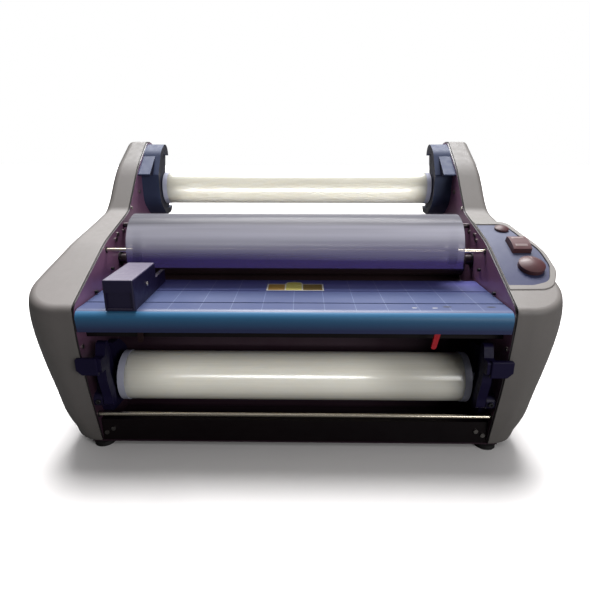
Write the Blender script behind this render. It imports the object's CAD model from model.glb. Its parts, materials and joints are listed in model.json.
"""Looks of the desktop roll laminator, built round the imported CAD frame."""

import json
import math

import bmesh
import bpy
from mathutils import Matrix, Vector


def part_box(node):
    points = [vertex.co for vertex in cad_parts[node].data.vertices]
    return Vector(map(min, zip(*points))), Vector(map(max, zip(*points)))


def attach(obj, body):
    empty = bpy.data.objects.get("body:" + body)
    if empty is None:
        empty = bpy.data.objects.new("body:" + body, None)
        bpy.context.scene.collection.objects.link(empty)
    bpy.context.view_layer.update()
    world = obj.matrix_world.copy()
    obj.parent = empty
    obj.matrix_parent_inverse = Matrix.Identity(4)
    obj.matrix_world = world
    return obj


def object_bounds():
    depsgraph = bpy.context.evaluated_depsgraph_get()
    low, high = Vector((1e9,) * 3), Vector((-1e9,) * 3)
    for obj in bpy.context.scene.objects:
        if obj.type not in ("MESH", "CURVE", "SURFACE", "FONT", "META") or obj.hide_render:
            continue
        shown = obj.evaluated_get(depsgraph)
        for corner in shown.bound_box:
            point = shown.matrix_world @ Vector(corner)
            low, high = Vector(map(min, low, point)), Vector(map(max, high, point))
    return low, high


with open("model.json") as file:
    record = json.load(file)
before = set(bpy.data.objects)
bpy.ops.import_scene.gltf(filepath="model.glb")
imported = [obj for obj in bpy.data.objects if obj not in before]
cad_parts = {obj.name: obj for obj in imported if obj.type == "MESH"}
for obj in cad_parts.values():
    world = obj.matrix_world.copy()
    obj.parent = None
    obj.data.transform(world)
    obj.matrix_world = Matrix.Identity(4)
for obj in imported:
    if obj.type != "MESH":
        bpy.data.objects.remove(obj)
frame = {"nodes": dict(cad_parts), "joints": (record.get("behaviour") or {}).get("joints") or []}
cad_box = [list(corner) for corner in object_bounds()]

# ---- camera, fitted to the photograph (metres and degrees) ---------------------------------------

CAMERA_PLACE = (0.0134, -0.9682, 0.5298)
CAMERA_TILT = 72.12
CAMERA_TURN = 0.86
SENSOR_WIDTH_MM = 36
FOCAL_LENGTH_MM = 28.37


def add_object(name, data):
    """A new object in the scene that shows the data."""
    item = bpy.data.objects.new(name, data)
    bpy.context.collection.objects.link(item)
    return item


camera_data = bpy.data.cameras.new("camera")
camera_data.sensor_width = SENSOR_WIDTH_MM
camera_data.lens = FOCAL_LENGTH_MM
camera = add_object("camera", camera_data)
camera.location = CAMERA_PLACE
camera.rotation_euler = (math.radians(CAMERA_TILT), 0, math.radians(CAMERA_TURN))
bpy.context.scene.camera = camera

# ---- lights and world (metres, degrees and watts) ------------------------------------------------

SUN_STRENGTH = 6.9
SUN_WIDTH = 38
SUN_LEAN_FROM_FRONT = -24


def soft_light(name, place, aim, size, power, spread=180):
    """A rectangular lamp that the camera doesn't see, turned towards its aim."""
    data = bpy.data.lights.new(name, "AREA")
    data.shape = "RECTANGLE"
    data.size, data.size_y = size
    data.energy = power
    data.spread = math.radians(spread)
    lamp = add_object(name, data)
    lamp.location = place
    lamp.rotation_euler = (Vector(aim) - Vector(place)).to_track_quat("-Z", "Y").to_euler()
    lamp.visible_camera = False


sun_data = bpy.data.lights.new("overhead", "SUN")
sun_data.energy = SUN_STRENGTH
sun_data.angle = math.radians(SUN_WIDTH)
overhead = add_object("overhead", sun_data)
overhead.rotation_euler = (math.radians(SUN_LEAN_FROM_FRONT), 0, 0)
soft_light("front_light", place=(1.5, -2.0, 0.85), aim=(0, 0, 0.2), size=(1.4, 0.7), power=21)
soft_light("upper_roll_light", place=(0, 0.04, 0.405), aim=(0, 0.192, 0.425), size=(0.58, 0.03),
           power=0.16, spread=50)
soft_light("lower_roll_light", place=(-0.05, -0.43, 0.21), aim=(-0.05, -0.175, 0.125), size=(0.42, 0.03),
           power=0.035, spread=34)

# A Mix node holds a set of sockets for each kind of data. These are the ones for numbers and for colours.
MIX_FACTOR = 0
MIX_NUMBERS = (2, 3)
MIX_COLOURS = (6, 7)
MIXED_NUMBER = 0
MIXED_COLOUR = 2


def fill(target, value):
    """Link a value to a socket if it comes from another node, or else set the socket to it."""
    if isinstance(value, bpy.types.NodeSocket):
        target.id_data.links.new(value, target)
    else:
        target.default_value = value


def set_world(low, sky, backdrop):
    """A studio that is white to the camera, with little light near the floor and more above and behind."""
    world = bpy.data.worlds.new("studio")
    bpy.context.scene.world = world
    world.use_nodes = True
    nodes = world.node_tree.nodes
    direction = nodes.new("ShaderNodeSeparateXYZ")
    fill(direction.inputs[0], nodes.new("ShaderNodeTexCoord").outputs["Generated"])

    def ramp(axis, start, end, reach):
        made = nodes.new("ShaderNodeMapRange")
        made.interpolation_type = "SMOOTHSTEP"
        fill(made.inputs["Value"], direction.outputs[axis])
        for socket, value in (("From Min", start), ("From Max", end), ("To Min", 0), ("To Max", reach)):
            fill(made.inputs[socket], value)
        return made.outputs[0]

    def combine(operation, first, second):
        made = nodes.new("ShaderNodeMath")
        made.operation = operation
        fill(made.inputs[0], first)
        fill(made.inputs[1], second)
        return made.outputs[0]

    above_floor = ramp("Z", start=-0.02, end=0.12, reach=1)
    behind = combine("MULTIPLY", ramp("Y", start=0.6, end=0.95, reach=backdrop), above_floor)
    overhead_sky = ramp("Z", start=0.55, end=0.9, reach=sky)
    light = combine("ADD", combine("ADD", overhead_sky, behind), low)
    strength = nodes.new("ShaderNodeMix")
    fill(strength.inputs[MIX_FACTOR], nodes.new("ShaderNodeLightPath").outputs["Is Camera Ray"])
    fill(strength.inputs[MIX_NUMBERS[0]], light)
    fill(strength.inputs[MIX_NUMBERS[1]], 1.0)
    fill(nodes["Background"].inputs["Strength"], strength.outputs[MIXED_NUMBER])
    fill(nodes["Background"].inputs["Color"], (1, 1, 1, 1))


set_world(low=0.04, sky=0.5, backdrop=1.6)
bpy.context.scene.view_settings.view_transform = "Standard"

# ---- tools for the materials ---------------------------------------------------------------------


class Paint:
    """A Principled material, with short calls that add procedural detail to it."""

    def __init__(self, name, **sockets):
        self.material = bpy.data.materials.new(name)
        self.material.use_nodes = True
        self.tree = self.material.node_tree
        self.shader = self.tree.nodes["Principled BSDF"]
        for socket, value in sockets.items():
            target = self.shader.inputs[socket.replace("_", " ")]
            if isinstance(value, tuple):
                value = (*value, 1)[:len(target.default_value)]
            target.default_value = value
        self.place = self.tree.nodes.new("ShaderNodeTexCoord").outputs["Object"]

    def node(self, kind, inputs, **settings):
        made = self.tree.nodes.new(kind)
        for key, value in settings.items():
            setattr(made, key, value)
        for key, value in inputs.items():
            fill(made.inputs[key], value)
        return made

    def math(self, operation, first, second=0.0):
        return self.node("ShaderNodeMath", {0: first, 1: second}, operation=operation).outputs[0]

    def position(self):
        """The X, Y and Z of the point being painted, in metres in the CAD frame."""
        return self.node("ShaderNodeSeparateXYZ", {0: self.place}).outputs[:3]

    def facing(self, axis):
        """How squarely a face looks along an axis, either way, from 0 to 1."""
        normal = self.node("ShaderNodeNewGeometry", {}).outputs["Normal"]
        return self.math("ABSOLUTE", self.node("ShaderNodeSeparateXYZ", {0: normal}).outputs[axis])

    def noise(self, scale, detail, stretch=None):
        """Noise at one scale, or with a scale of its own along each axis."""
        where = self.place
        if stretch:
            where = self.node("ShaderNodeMapping", {"Vector": self.place, "Scale": stretch}).outputs[0]
        inputs = {"Vector": where, "Scale": scale, "Detail": detail, "Roughness": 0.5}
        return self.node("ShaderNodeTexNoise", inputs).outputs["Fac"]

    def spread(self, value, low, high, start=0.35, end=0.65):
        """Map a value that runs from start to end, as most noise does by default, onto low to high."""
        inputs = {"Value": value, "From Min": start, "From Max": end, "To Min": low, "To Max": high}
        return self.node("ShaderNodeMapRange", inputs).outputs[0]

    def between(self, factor, first, second):
        """Two colours, each a tuple or a node's output, mixed by a factor from 0 to 1."""
        made = self.node("ShaderNodeMix", {MIX_FACTOR: factor}, data_type="RGBA")
        for socket, colour in zip(MIX_COLOURS, (first, second)):
            fill(made.inputs[socket], (*colour, 1) if isinstance(colour, tuple) else colour)
        return made.outputs[MIXED_COLOUR]

    def set(self, socket, value):
        fill(self.shader.inputs[socket], value)

    def colour(self):
        """What the base colour is linked to so far."""
        return self.shader.inputs["Base Color"].links[0].from_socket

    def tint(self, factor, colour):
        """Blend a colour over the base colour where the factor is 1."""
        self.set("Base Color", self.between(factor, self.colour(), colour))

    def bump(self, height, depth, strength=1.0):
        made = self.node("ShaderNodeBump", {"Height": height, "Distance": depth, "Strength": strength})
        self.set("Normal", made.outputs[0])


def srgb(*levels):
    """Linear colour from 0-255 display levels."""
    return tuple(((level / 255 + 0.055) / 1.055) ** 2.4 for level in levels)


def moulded(name, colour, other, rough, grain=1400, depth=0.00006, **sockets):
    """Moulded plastic: a faint cloud of colour, a fine grain and slightly uneven gloss."""
    paint = Paint(name, **sockets)
    paint.set("Base Color", paint.between(paint.spread(paint.noise(7, detail=4), 0, 1), colour, other))
    paint.set("Roughness", paint.spread(paint.noise(90, detail=4), rough - 0.05, rough + 0.06))
    paint.bump(paint.noise(grain, detail=2), depth)
    return paint


def painted(name, colour, other, rough, **sockets):
    """Powder-coated sheet metal with a light orange-peel surface."""
    paint = Paint(name, **sockets)
    paint.set("Base Color", paint.between(paint.spread(paint.noise(5, detail=3), 0, 1), colour, other))
    paint.set("Roughness", paint.spread(paint.noise(40, detail=3), rough - 0.04, rough + 0.06))
    paint.bump(paint.noise(450, detail=2), 0.00008, strength=0.6)
    return paint


def metal(name, colour, rough, grain=(4, 900, 900)):
    """Turned or brushed metal. Its grain runs along the axis with the smallest scale."""
    paint = Paint(name, Metallic=1.0)
    streak = paint.noise(1, detail=4, stretch=grain)
    darker = tuple(level * 0.8 for level in colour)
    paint.set("Base Color", paint.between(paint.spread(streak, 0, 1), colour, darker))
    paint.set("Roughness", paint.spread(streak, rough - 0.06, rough + 0.1))
    paint.bump(streak, 0.00002)
    return paint


def wound_film(name, light, dark, coat, coat_roughness):
    """Clear film wound on a roll: milky, with fine bands round it."""
    paint = Paint(name, Subsurface_Weight=0.7, Subsurface_Scale=0.03, Subsurface_Radius=(1.0, 0.95, 0.85),
                  Coat_Weight=coat, Coat_Roughness=coat_roughness)
    bands = paint.noise(1, detail=5, stretch=(1.6, 70, 70))
    paint.set("Base Color", paint.between(paint.spread(bands, 0, 1, start=0.3, end=0.7), light, dark))
    paint.set("Roughness", paint.spread(bands, 0.16, 0.34))
    paint.bump(bands, 0.0002)
    return paint


# ---- materials (linear colours, unless srgb() is called) -----------------------------------------


def wall_material():
    """The side frames: plum, darker below the table, with nearly black cut edges."""
    plum = (0.29, 0.135, 0.25)
    deeper_plum = (0.24, 0.11, 0.20)
    below_table = (0.050, 0.022, 0.038)
    cut_edge = (0.010, 0.006, 0.009)
    paint = painted("wall_paint", plum, deeper_plum, 0.36, Coat_Weight=0.2)
    _, _, height = paint.position()
    paint.tint(paint.spread(height, 1, 0, start=0.18, end=0.26), below_table)
    broad_face = paint.math("GREATER_THAN", paint.facing("X"), 0.5)
    paint.set("Base Color", paint.between(broad_face, cut_edge, paint.colour()))
    return paint


def bracket_material():
    """The upper brackets: blue grey, and nearly black on their sides."""
    blue_grey = (0.050, 0.066, 0.135)
    darker_blue_grey = (0.043, 0.058, 0.120)
    dark_side = (0.009, 0.008, 0.026)
    paint = moulded("bracket_navy", blue_grey, darker_blue_grey, 0.55, Specular_IOR_Level=0.3)
    paint.tint(paint.spread(paint.facing("X"), 0, 1, start=0.4, end=0.8), dark_side)
    return paint


def panel_material():
    """The print on the control panel: darker to the front, with a dark border at its left and front."""
    blue_grey = (0.088, 0.096, 0.152)
    darker_blue_grey = (0.080, 0.088, 0.142)
    front_blue = (0.026, 0.030, 0.080)
    border_navy = (0.008, 0.009, 0.035)
    plate_corner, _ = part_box("control_panel_plate")
    left_border = plate_corner.x + 0.0015
    front_border = plate_corner.y + 0.0025
    paint = moulded("panel_print", blue_grey, darker_blue_grey, 0.5, grain=2200, depth=0.00003,
                    Specular_IOR_Level=0.3)
    across, along, _ = paint.position()
    to_back = paint.spread(along, 0, 1, start=-0.205, end=-0.08)
    paint.set("Base Color", paint.between(to_back, front_blue, paint.colour()))
    on_left = paint.math("LESS_THAN", across, left_border)
    on_front = paint.math("LESS_THAN", along, front_border)
    paint.tint(paint.math("MAXIMUM", on_left, on_front), border_navy)
    return paint


def guide_material():
    """The side guide: navy, with a worn pale top."""
    navy = (0.013, 0.009, 0.040)
    darker_navy = (0.010, 0.007, 0.032)
    worn_top = (0.135, 0.118, 0.165)
    paint = moulded("guide_navy", navy, darker_navy, 0.42, Specular_IOR_Level=0.45)
    paint.tint(paint.spread(paint.facing("Z"), 0, 1, start=0.6, end=0.95), worn_top)
    return paint


def shield_material():
    """The tinted shield: violet and clear at its low front edge, pale above it, dark grey on its crown."""
    violet = (0.14, 0.10, 0.36)
    pale_grey = (0.68, 0.67, 0.78)
    crown_grey = (0.13, 0.128, 0.15)
    violet_top = 0.324
    pale_start = 0.362
    pale_top = 0.374
    crown_start = 0.394
    paint = Paint("shield_tint", Specular_IOR_Level=0.3, IOR=1.2)
    streaks = paint.noise(1, detail=3, stretch=(1.2, 45, 45))
    _, _, height = paint.position()
    rippled = paint.math("ADD", height, paint.spread(streaks, -0.005, 0.005))
    pale = paint.spread(rippled, 0, 1, start=violet_top, end=pale_start)
    crown = paint.spread(rippled, 0, 1, start=pale_top, end=crown_start)
    slope = paint.between(pale, violet, pale_grey)
    paint.set("Base Color", paint.between(crown, slope, crown_grey))
    slope_alpha = paint.spread(pale, 0.40, 0.60, start=0, end=1)
    added_on_crown = paint.spread(crown, 0, 0.25, start=0, end=1)
    paint.set("Alpha", paint.math("ADD", slope_alpha, added_on_crown))
    paint.set("Roughness", paint.spread(streaks, 0.2, 0.34))
    return paint


def table_material():
    """The feed table: printed lines from front to back on its top, and a bright blue nose."""
    blue = (0.044, 0.062, 0.150)
    darker_blue = (0.038, 0.054, 0.136)
    violet_back = (0.080, 0.080, 0.290)
    line_white = srgb(196, 205, 224)
    line_strength = 0.22
    nose_dark = (0.024, 0.034, 0.105)
    nose_bright = (0.034, 0.150, 0.300)
    line_gap = 0.0508
    line_half_width = 0.0004
    clear_of_zero = 20 * line_gap
    print_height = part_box("feed_table")[1].z - 0.0005
    print_front = -0.2705
    paint = Paint("table_print", Specular_IOR_Level=0.45)
    across, along, height = paint.position()
    to_line = paint.math("PINGPONG", paint.math("ADD", across, clear_of_zero), line_gap / 2)
    line = paint.spread(to_line, 1, 0, start=line_half_width * 0.7, end=line_half_width * 1.3)
    on_top = paint.math("GREATER_THAN", height, print_height)
    inside = paint.math("MULTIPLY", on_top, paint.math("GREATER_THAN", along, print_front))
    line = paint.math("MULTIPLY", paint.math("MULTIPLY", line, inside), line_strength)
    cloudy_blue = paint.between(paint.spread(paint.noise(6, detail=4), 0, 1), blue, darker_blue)
    to_back = paint.spread(along, 0, 1, start=-0.180, end=-0.115)
    top = paint.between(line, paint.between(to_back, cloudy_blue, violet_back), line_white)
    up_nose = paint.spread(height, 0, 1, start=0.246, end=0.268)
    nose = paint.between(up_nose, nose_dark, nose_bright)
    paint.set("Base Color", paint.between(paint.math("LESS_THAN", along, print_front), top, nose))
    paint.set("Roughness", paint.spread(paint.noise(9, detail=4), 0.42, 0.5))
    return paint


wall = wall_material()
upper_bracket = bracket_material()
panel = panel_material()
guide = guide_material()
shield = shield_material()
table = table_material()

# painted sheet metal and the covers
cover = moulded("cover_grey", srgb(117, 112, 110), srgb(111, 107, 104), 0.5, grain=1100, depth=0.00012)
rear_sheet = painted("frame_paint", (0.034, 0.020, 0.030), (0.026, 0.015, 0.023), 0.34, Coat_Weight=0.2)
baffle = painted("baffle_paint", (0.034, 0.015, 0.026), (0.028, 0.012, 0.021), 0.45)
dark_sheet = painted("dark_paint", (0.0065, 0.0035, 0.0045), (0.005, 0.0025, 0.0035), 0.4,
                     Specular_IOR_Level=0.25)
motor = painted("motor_paint", (0.05, 0.05, 0.055), (0.04, 0.04, 0.045), 0.4)

# moulded plastics, the control board and the card cores
control = moulded("control_brown", (0.080, 0.030, 0.034), (0.064, 0.024, 0.027), 0.45, grain=1800,
                  depth=0.00003, Specular_IOR_Level=0.35)
control_mark = moulded("control_highlight", (0.20, 0.145, 0.145), (0.17, 0.12, 0.12), 0.35, grain=1800,
                       depth=0.00002)
lower_bracket = moulded("low_bracket_navy", (0.011, 0.008, 0.034), (0.008, 0.006, 0.026), 0.5,
                        Specular_IOR_Level=0.25)
lever = moulded("lock_navy", (0.010, 0.007, 0.036), (0.008, 0.0055, 0.028), 0.45, Specular_IOR_Level=0.15)
red_latch = moulded("latch_red", (0.50, 0.008, 0.02), (0.42, 0.007, 0.016), 0.28, grain=1800, depth=0.00002)
dark_latch = moulded("latch_dark_red", (0.02, 0.0015, 0.003), (0.016, 0.001, 0.0025), 0.5, grain=1800,
                     depth=0.00002)
rib = moulded("rib_plastic", (0.05, 0.04, 0.13), (0.035, 0.03, 0.1), 0.35)
end_cap = moulded("cap_plastic", (0.55, 0.56, 0.68), (0.48, 0.49, 0.62), 0.4)
black = moulded("black_plastic", (0.012, 0.012, 0.014), (0.008, 0.008, 0.01), 0.45)
nylon = moulded("nylon", srgb(214, 209, 193), srgb(206, 200, 184), 0.4)
board = moulded("board_green", (0.01, 0.09, 0.03), (0.008, 0.07, 0.025), 0.3)
card = moulded("card_core", srgb(170, 140, 104), srgb(150, 122, 90), 0.8, grain=300, depth=0.0003)

# rubbers
foot_rubber = moulded("foot_rubber", (0.010, 0.009, 0.010), (0.006, 0.006, 0.006), 0.6, grain=500,
                      depth=0.0002)
silicone = moulded("silicone", (0.035, 0.018, 0.020), (0.026, 0.014, 0.016), 0.42, grain=700,
                   depth=0.00005)
pull_rubber = moulded("pull_rubber", (0.02, 0.018, 0.02), (0.014, 0.013, 0.014), 0.6, grain=700,
                      depth=0.0001)

# metals
steel = metal("steel", (0.84, 0.76, 0.62), 0.24)
plated = metal("plated_steel", (0.42, 0.39, 0.37), 0.3, grain=(300, 300, 300))
dark_steel = metal("dark_steel", (0.10, 0.085, 0.09), 0.35)

# films
upper_film = wound_film("film", (0.60, 0.58, 0.51), (0.53, 0.51, 0.44), coat=0.4, coat_roughness=0.3)
lower_film = wound_film("lower_film", (0.90, 0.87, 0.78), (0.80, 0.77, 0.68), coat=0.8, coat_roughness=0.2)


def label_ink(name, colour, other):
    """Ink of the label and the marks on the table."""
    return moulded(name, colour, other, 0.5, grain=2000, depth=0.00001)


white = label_ink("label_white", (0.62, 0.60, 0.56), (0.56, 0.54, 0.50))
gold = label_ink("label_gold", (0.36, 0.21, 0.04), (0.30, 0.17, 0.03))
pale_gold = label_ink("label_pale_gold", (0.58, 0.52, 0.14), (0.50, 0.45, 0.11))
dark_gold = label_ink("label_dark_gold", (0.17, 0.11, 0.02), (0.13, 0.085, 0.016))

# ---- what each CAD node is painted with, and whose edges are softened ----------------------------

PAINTED_NODES = [
    (cover, ["left_side_cover", "right_side_cover"]),
    (panel, ["control_panel_plate"]),
    (control, ["small_knob", "big_knob", "rocker_switch"]),
    (wall, ["left_side_frame", "right_side_frame"]),
    (baffle, ["base_tray", "inner_baffle"]),
    (dark_sheet, ["front_lower_panel", "front_tie_channel", "roller_guard"]),
    (rear_sheet, ["rear_panel", "inlet_panel", "exit_deck"]),
    (upper_bracket, ["left_upper_bracket", "right_upper_bracket"]),
    (lower_bracket, ["left_lower_bracket", "right_lower_bracket"]),
    (lever, ["left_lock_lever", "right_lock_lever"]),
    (guide, ["side_guide"]),
    (table, ["feed_table"]),
    (dark_latch, ["left_table_latch"]),
    (red_latch, ["right_table_latch"]),
    (shield, ["heat_shield"]),
    (rib, ["shield_ribs"]),
    (lower_film, ["lower_roll_film"]),
    (upper_film, ["upper_roll_film"]),
    (card, ["lower_roll_core", "upper_roll_core"]),
    (end_cap, ["lower_roll_end_caps", "upper_roll_end_caps"]),
    (silicone, ["lower_heat_roller_sleeve", "upper_heat_roller_sleeve"]),
    (pull_rubber, ["lower_pull_roller", "upper_pull_roller"]),
    (nylon, ["lower_heat_gear", "upper_heat_gear", "lower_pull_gear", "upper_pull_gear", "idler_gear"]),
    (steel, ["lower_idler_bar", "upper_idler_bar", "motor_pinion", "idler_stud", "heater_rods"]),
    (dark_steel, ["lower_heat_roller_core", "upper_heat_roller_core", "shield_pivot_rod"]),
    (plated, ["screws"]),
    (black, ["bushings", "table_pins", "power_inlet", "fan_frame", "fan_rotor"]),
    (motor, ["drive_motor"]),
    (board, ["control_board"]),
    (foot_rubber, ["rubber_feet"]),
]
for paint, names in PAINTED_NODES:
    for name in names:
        surfaces = frame["nodes"][name].data.materials
        surfaces.clear()
        surfaces.append(paint.material)

SOFT_EDGES = ["side_guide", "left_upper_bracket", "right_upper_bracket", "left_lower_bracket",
              "right_lower_bracket", "left_lock_lever", "right_lock_lever", "front_tie_channel",
              "front_lower_panel", "exit_deck", "roller_guard", "rear_panel", "left_table_latch",
              "right_table_latch"]
SOFT_EDGE_WIDTH = 0.0006
SOFTEN_FROM_DEGREES = 40
for name in SOFT_EDGES:
    edge = frame["nodes"][name].modifiers.new("soft_edges", "BEVEL")
    edge.width = SOFT_EDGE_WIDTH
    edge.segments = 2
    edge.limit_method = "ANGLE"
    edge.angle_limit = math.radians(SOFTEN_FROM_DEGREES)

# ---- tools for the small pieces that ride on the CAD bodies (millimetres) ------------------------

AT_REST = Matrix.Identity(4)
JOINTS = {joint["name"]: joint for joint in frame["joints"]}


def millimetres(place):
    """A place in metres as millimetres, to a tenth."""
    return Vector([round(value * 1000, 1) for value in place])


def tilted(place, degrees):
    """Where a piece modelled about the origin stands: its place, and its lean about X."""
    return Matrix.Translation(Vector(place) / 1000) @ Matrix.Rotation(math.radians(degrees), 4, "X")


def dial_seat(joint_name):
    """Where a piece on a dial stands: at the dial's joint, with Z along the joint's axis."""
    joint = JOINTS[joint_name]
    _, along, up = joint["axis"]
    return tilted(millimetres(joint["pos_m"]), round(math.degrees(math.atan2(-along, up)), 1))


def piece(name, form, paint, body, where=AT_REST):
    """Make a finished form into an object in metres, and hang it on a body."""
    bmesh.ops.scale(form, vec=(0.001, 0.001, 0.001), verts=form.verts)
    bmesh.ops.recalc_face_normals(form, faces=form.faces)
    mesh = bpy.data.meshes.new(name)
    form.to_mesh(mesh)
    form.free()
    mesh.materials.append(paint.material)
    item = add_object(name, mesh)
    item.matrix_world = where
    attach(item, body)


def turns(steps):
    """Evenly spaced angles round a circle."""
    return [2 * math.pi * step / steps for step in range(steps)]


def skin(form, rims, closed=False):
    """Join rims of equally many points by a skin, from the first to the last, and back again if closed."""
    pairs = list(zip(rims, rims[1:])) + ([(rims[-1], rims[0])] if closed else [])
    for lower, upper in pairs:
        for index in range(len(lower)):
            after = (index + 1) % len(lower)
            form.faces.new((lower[index], lower[after], upper[after], upper[index]))


def solid(form, rims):
    """Join rims by a skin, and close both ends."""
    skin(form, rims)
    form.faces.new(rims[0])
    form.faces.new(rims[-1])


def rectangle(left, front, right, back):
    return [(left, front), (right, front), (right, back), (left, back)]


def oval(across, along, wide, deep):
    return [(across + wide / 2 * math.cos(turn), along + deep / 2 * math.sin(turn)) for turn in turns(20)]


def slab(form, outline, low, high):
    """Add a flat plate with the given plan outline, with a small bevel round its top."""
    bevel_down = 0.03
    bevel_in = 0.15
    middle = Vector((sum(x for x, _ in outline), sum(y for _, y in outline))) / len(outline)
    rims = []
    for inward, height in ((0, low), (0, high - bevel_down), (bevel_in, high)):
        rim = []
        for x, y in outline:
            step = (middle - Vector((x, y))).normalized() * inward
            rim.append(form.verts.new((x + step.x, y + step.y, height)))
        rims.append(rim)
    solid(form, rims)


def lathe(form, profile, centre, axis, closed=False, steps=28):
    """Add a turned solid. Its profile is (radius, distance along the axis), and if closed makes a ring."""
    side = Vector((0, 0, 1))
    other = axis.cross(side)
    rims = []
    for radius, along in profile:
        rim = []
        for turn in turns(steps):
            outward = side * math.cos(turn) + other * math.sin(turn)
            rim.append(form.verts.new(Vector(centre) + axis * along + outward * radius))
        rims.append(rim)
    if closed:
        skin(form, rims, closed)
    else:
        solid(form, rims)


def dome_strip(form, crown, start, end, half_width, proud):
    """Add a strip along Y on top of a round crown, which is given as (radius, height of its centre)."""
    radius, centre = crown
    steps = 8
    sunk = 0.4
    top_half_width = half_width * 0.8
    rims = []
    for step in range(steps + 1):
        y = start + (end - start) * step / steps
        top = centre + math.sqrt(radius ** 2 - y ** 2)
        corners = ((-half_width, y, top - sunk), (half_width, y, top - sunk),
                   (top_half_width, y, top + proud), (-top_half_width, y, top + proud))
        rims.append([form.verts.new(corner) for corner in corners])
    solid(form, rims)


TO_RIGHT = Vector((1, 0, 0))
TO_FRONT = Vector((0, -1, 0))
TO_BACK = Vector((0, 1, 0))

# ---- label and marks on the table ----------------------------------------------------------------

TABLE_TOP = millimetres(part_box("feed_table")[1]).z
INK = 0.12
OVAL_INK = 0.15
OVALS_ALONG = -247.5
MARKS_FRONT = -254.5
MARKS_BACK = -252.5
MARK_HALF_WIDTH = 4
LABEL_BORDER = [(-51, -161.5), (54, -161.5), (54, -120), (16, -120), (12, -109), (-1, -105.5), (-14, -109),
                (-18, -120), (-51, -120)]
LABEL_ARCH = [(-15.5, -159), (13.5, -159), (13.5, -120), (10, -111), (-1, -108), (-12, -111), (-15.5, -120)]
LABEL = [("label_border", LABEL_BORDER, 0, white),
         ("label_left_field", rectangle(-48.5, -159, -18, -122.5), INK, gold),
         ("label_arch", LABEL_ARCH, INK, pale_gold),
         ("label_right_field", rectangle(16, -159, 51.5, -122.5), INK, dark_gold)]
for name, outline, rise, paint in LABEL:
    form = bmesh.new()
    slab(form, outline, TABLE_TOP + rise, TABLE_TOP + rise + INK)
    piece(name, form, paint, "table")

form = bmesh.new()
for across in (251, 323):
    slab(form, oval(across, OVALS_ALONG, wide=15, deep=5), TABLE_TOP, TABLE_TOP + OVAL_INK)
piece("table_ovals", form, black, "table")

form = bmesh.new()
for across in (197, 230):
    mark = rectangle(across - MARK_HALF_WIDTH, MARKS_FRONT, across + MARK_HALF_WIDTH, MARKS_BACK)
    slab(form, mark, TABLE_TOP, TABLE_TOP + INK)
piece("table_marks", form, white, "table")

# ---- screws that aren't in the CAD ---------------------------------------------------------------

# profiles from the rim to the bottom of the drive, as (radius, distance above the seat)
PAN_HEAD = [(4, 0), (4, 1.2), (3.4, 2), (2.2, 2.4), (1.2, 2.4), (1.0, 1.4)]
SOCKET_HEAD = [(4.2, 0), (4.2, 3.6), (3.8, 4), (2.4, 4), (2.2, 1.6)]

GUIDE_FACE = millimetres(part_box("side_guide")[1]).x
GUIDE_SCREW = (GUIDE_FACE, -210, 304)
form = bmesh.new()
lathe(form, PAN_HEAD, GUIDE_SCREW, TO_RIGHT)
piece("guide_screw", form, plated, "guide")

BRACKET_SCREW_FRONT = -251.5
BRACKET_SCREW_UP = 100
form = bmesh.new()
for across in (-343, 343):
    lathe(form, SOCKET_HEAD, (across, BRACKET_SCREW_FRONT, BRACKET_SCREW_UP), TO_FRONT)
piece("bracket_screws", form, black, "machine")

REAR_FACE = millimetres(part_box("rear_panel")[1]).y
REAR_SCREWS = [(-340, 30), (-340, 128), (-340, 240), (-60, 240), (206, 240), (206, 30), (-60, 30),
               (234, 30), (340, 30), (234, 240), (340, 240)]
form = bmesh.new()
for across, up in REAR_SCREWS:
    lathe(form, PAN_HEAD, (across, REAR_FACE, up), TO_BACK)
piece("rear_screws", form, black, "machine")

# ---- finger guard over the fan: wire rings on four flat spokes, each ending in a screw -----------

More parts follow.
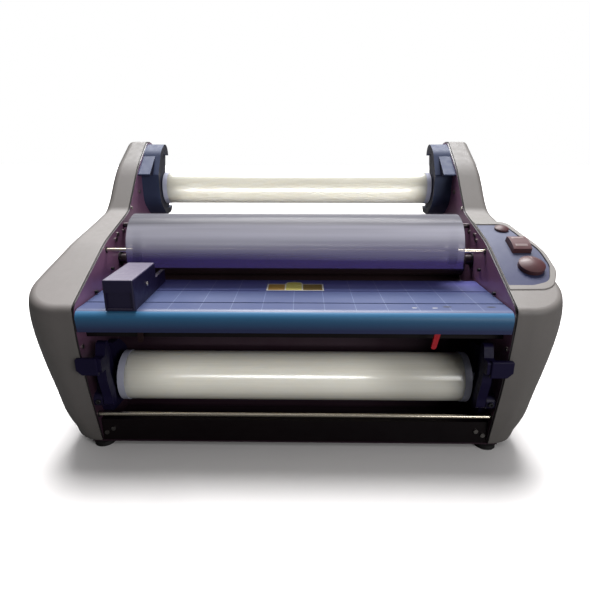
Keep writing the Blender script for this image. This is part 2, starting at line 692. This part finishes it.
GUARD_STAND_OFF = 1.4
WIRE = 0.9
SPOKE_SECTION = ((-1, WIRE), (1, WIRE), (1, 2.4), (-1, 2.4))
SPOKE_START = 10
SPOKE_END = 46
SCREW_REACH = 48
FAN_CENTRE = millimetres(JOINTS["fan_spin"]["pos_m"])
FAN_CENTRE.y = REAR_FACE + GUARD_STAND_OFF
form = bmesh.new()
for ring in (12, 20, 28, 36, 43):
    wire = [(ring + WIRE * math.cos(turn), WIRE * math.sin(turn)) for turn in turns(8)]
    lathe(form, wire, FAN_CENTRE, TO_BACK, closed=True, steps=40)
for degrees in (45, 135, 225, 315):
    out = Vector((math.cos(math.radians(degrees)), 0, math.sin(math.radians(degrees))))
    side = Vector((-out.z, 0, out.x))
    rims = []
    for reach in (SPOKE_START, SPOKE_END):
        rims.append([form.verts.new(FAN_CENTRE + out * reach + side * wide + TO_BACK * deep)
                     for wide, deep in SPOKE_SECTION])
    solid(form, rims)
    lathe(form, PAN_HEAD, FAN_CENTRE + out * SCREW_REACH + TO_FRONT * GUARD_STAND_OFF, TO_BACK)
piece("fan_finger_guard", form, plated, "machine")

# ---- marks on the dials and the rocker, which stand square to the sloping panel ------------------

# the radius of each round top, and the height of its centre over the seat
SMALL_CROWN = (24, 7.5 - 24)
BIG_CROWN = (38, 14.5 - 38)
ROCKER_CROWN = (60, -49)
ROCKER = tilted((408, -127, 354.4), 23.5)

form = bmesh.new()
dome_strip(form, SMALL_CROWN, start=3, end=11.5, half_width=0.8, proud=0.3)
piece("small_knob_mark", form, control_mark, "speed_dial", dial_seat("speed_dial_turn"))

form = bmesh.new()
dome_strip(form, BIG_CROWN, start=6, end=19.5, half_width=1.1, proud=0.4)
piece("big_knob_mark", form, control_mark, "heat_dial", dial_seat("heat_dial_turn"))

form = bmesh.new()
dome_strip(form, ROCKER_CROWN, start=-13.5, end=-8, half_width=12, proud=0.35)
dome_strip(form, ROCKER_CROWN, start=9, end=15.5, half_width=12, proud=0.35)
piece("rocker_bars", form, control_mark, "switch", ROCKER)

# ---- floor: pale to the camera, and dark to the light that would bounce off it -------------------

FLOOR_HALF_SIZE = 12
FLOOR_DROP = 0.0002
FLOOR_DARK = (0.06, 0.06, 0.06)
FLOOR_PALE = (0.85, 0.83, 0.83)
floor_mesh = bpy.data.meshes.new("floor")
form = bmesh.new()
bmesh.ops.create_grid(form, x_segments=1, y_segments=1, size=FLOOR_HALF_SIZE)
form.to_mesh(floor_mesh)
form.free()
floor = add_object("floor", floor_mesh)
floor.location = (0, 0, cad_box[0][2] - FLOOR_DROP)
floor_paint = Paint("floor", Roughness=0.6)
to_camera = floor_paint.node("ShaderNodeLightPath", {}).outputs["Is Camera Ray"]
floor_paint.set("Base Color", floor_paint.between(to_camera, FLOOR_DARK, FLOOR_PALE))
floor_mesh.materials.append(floor_paint.material)
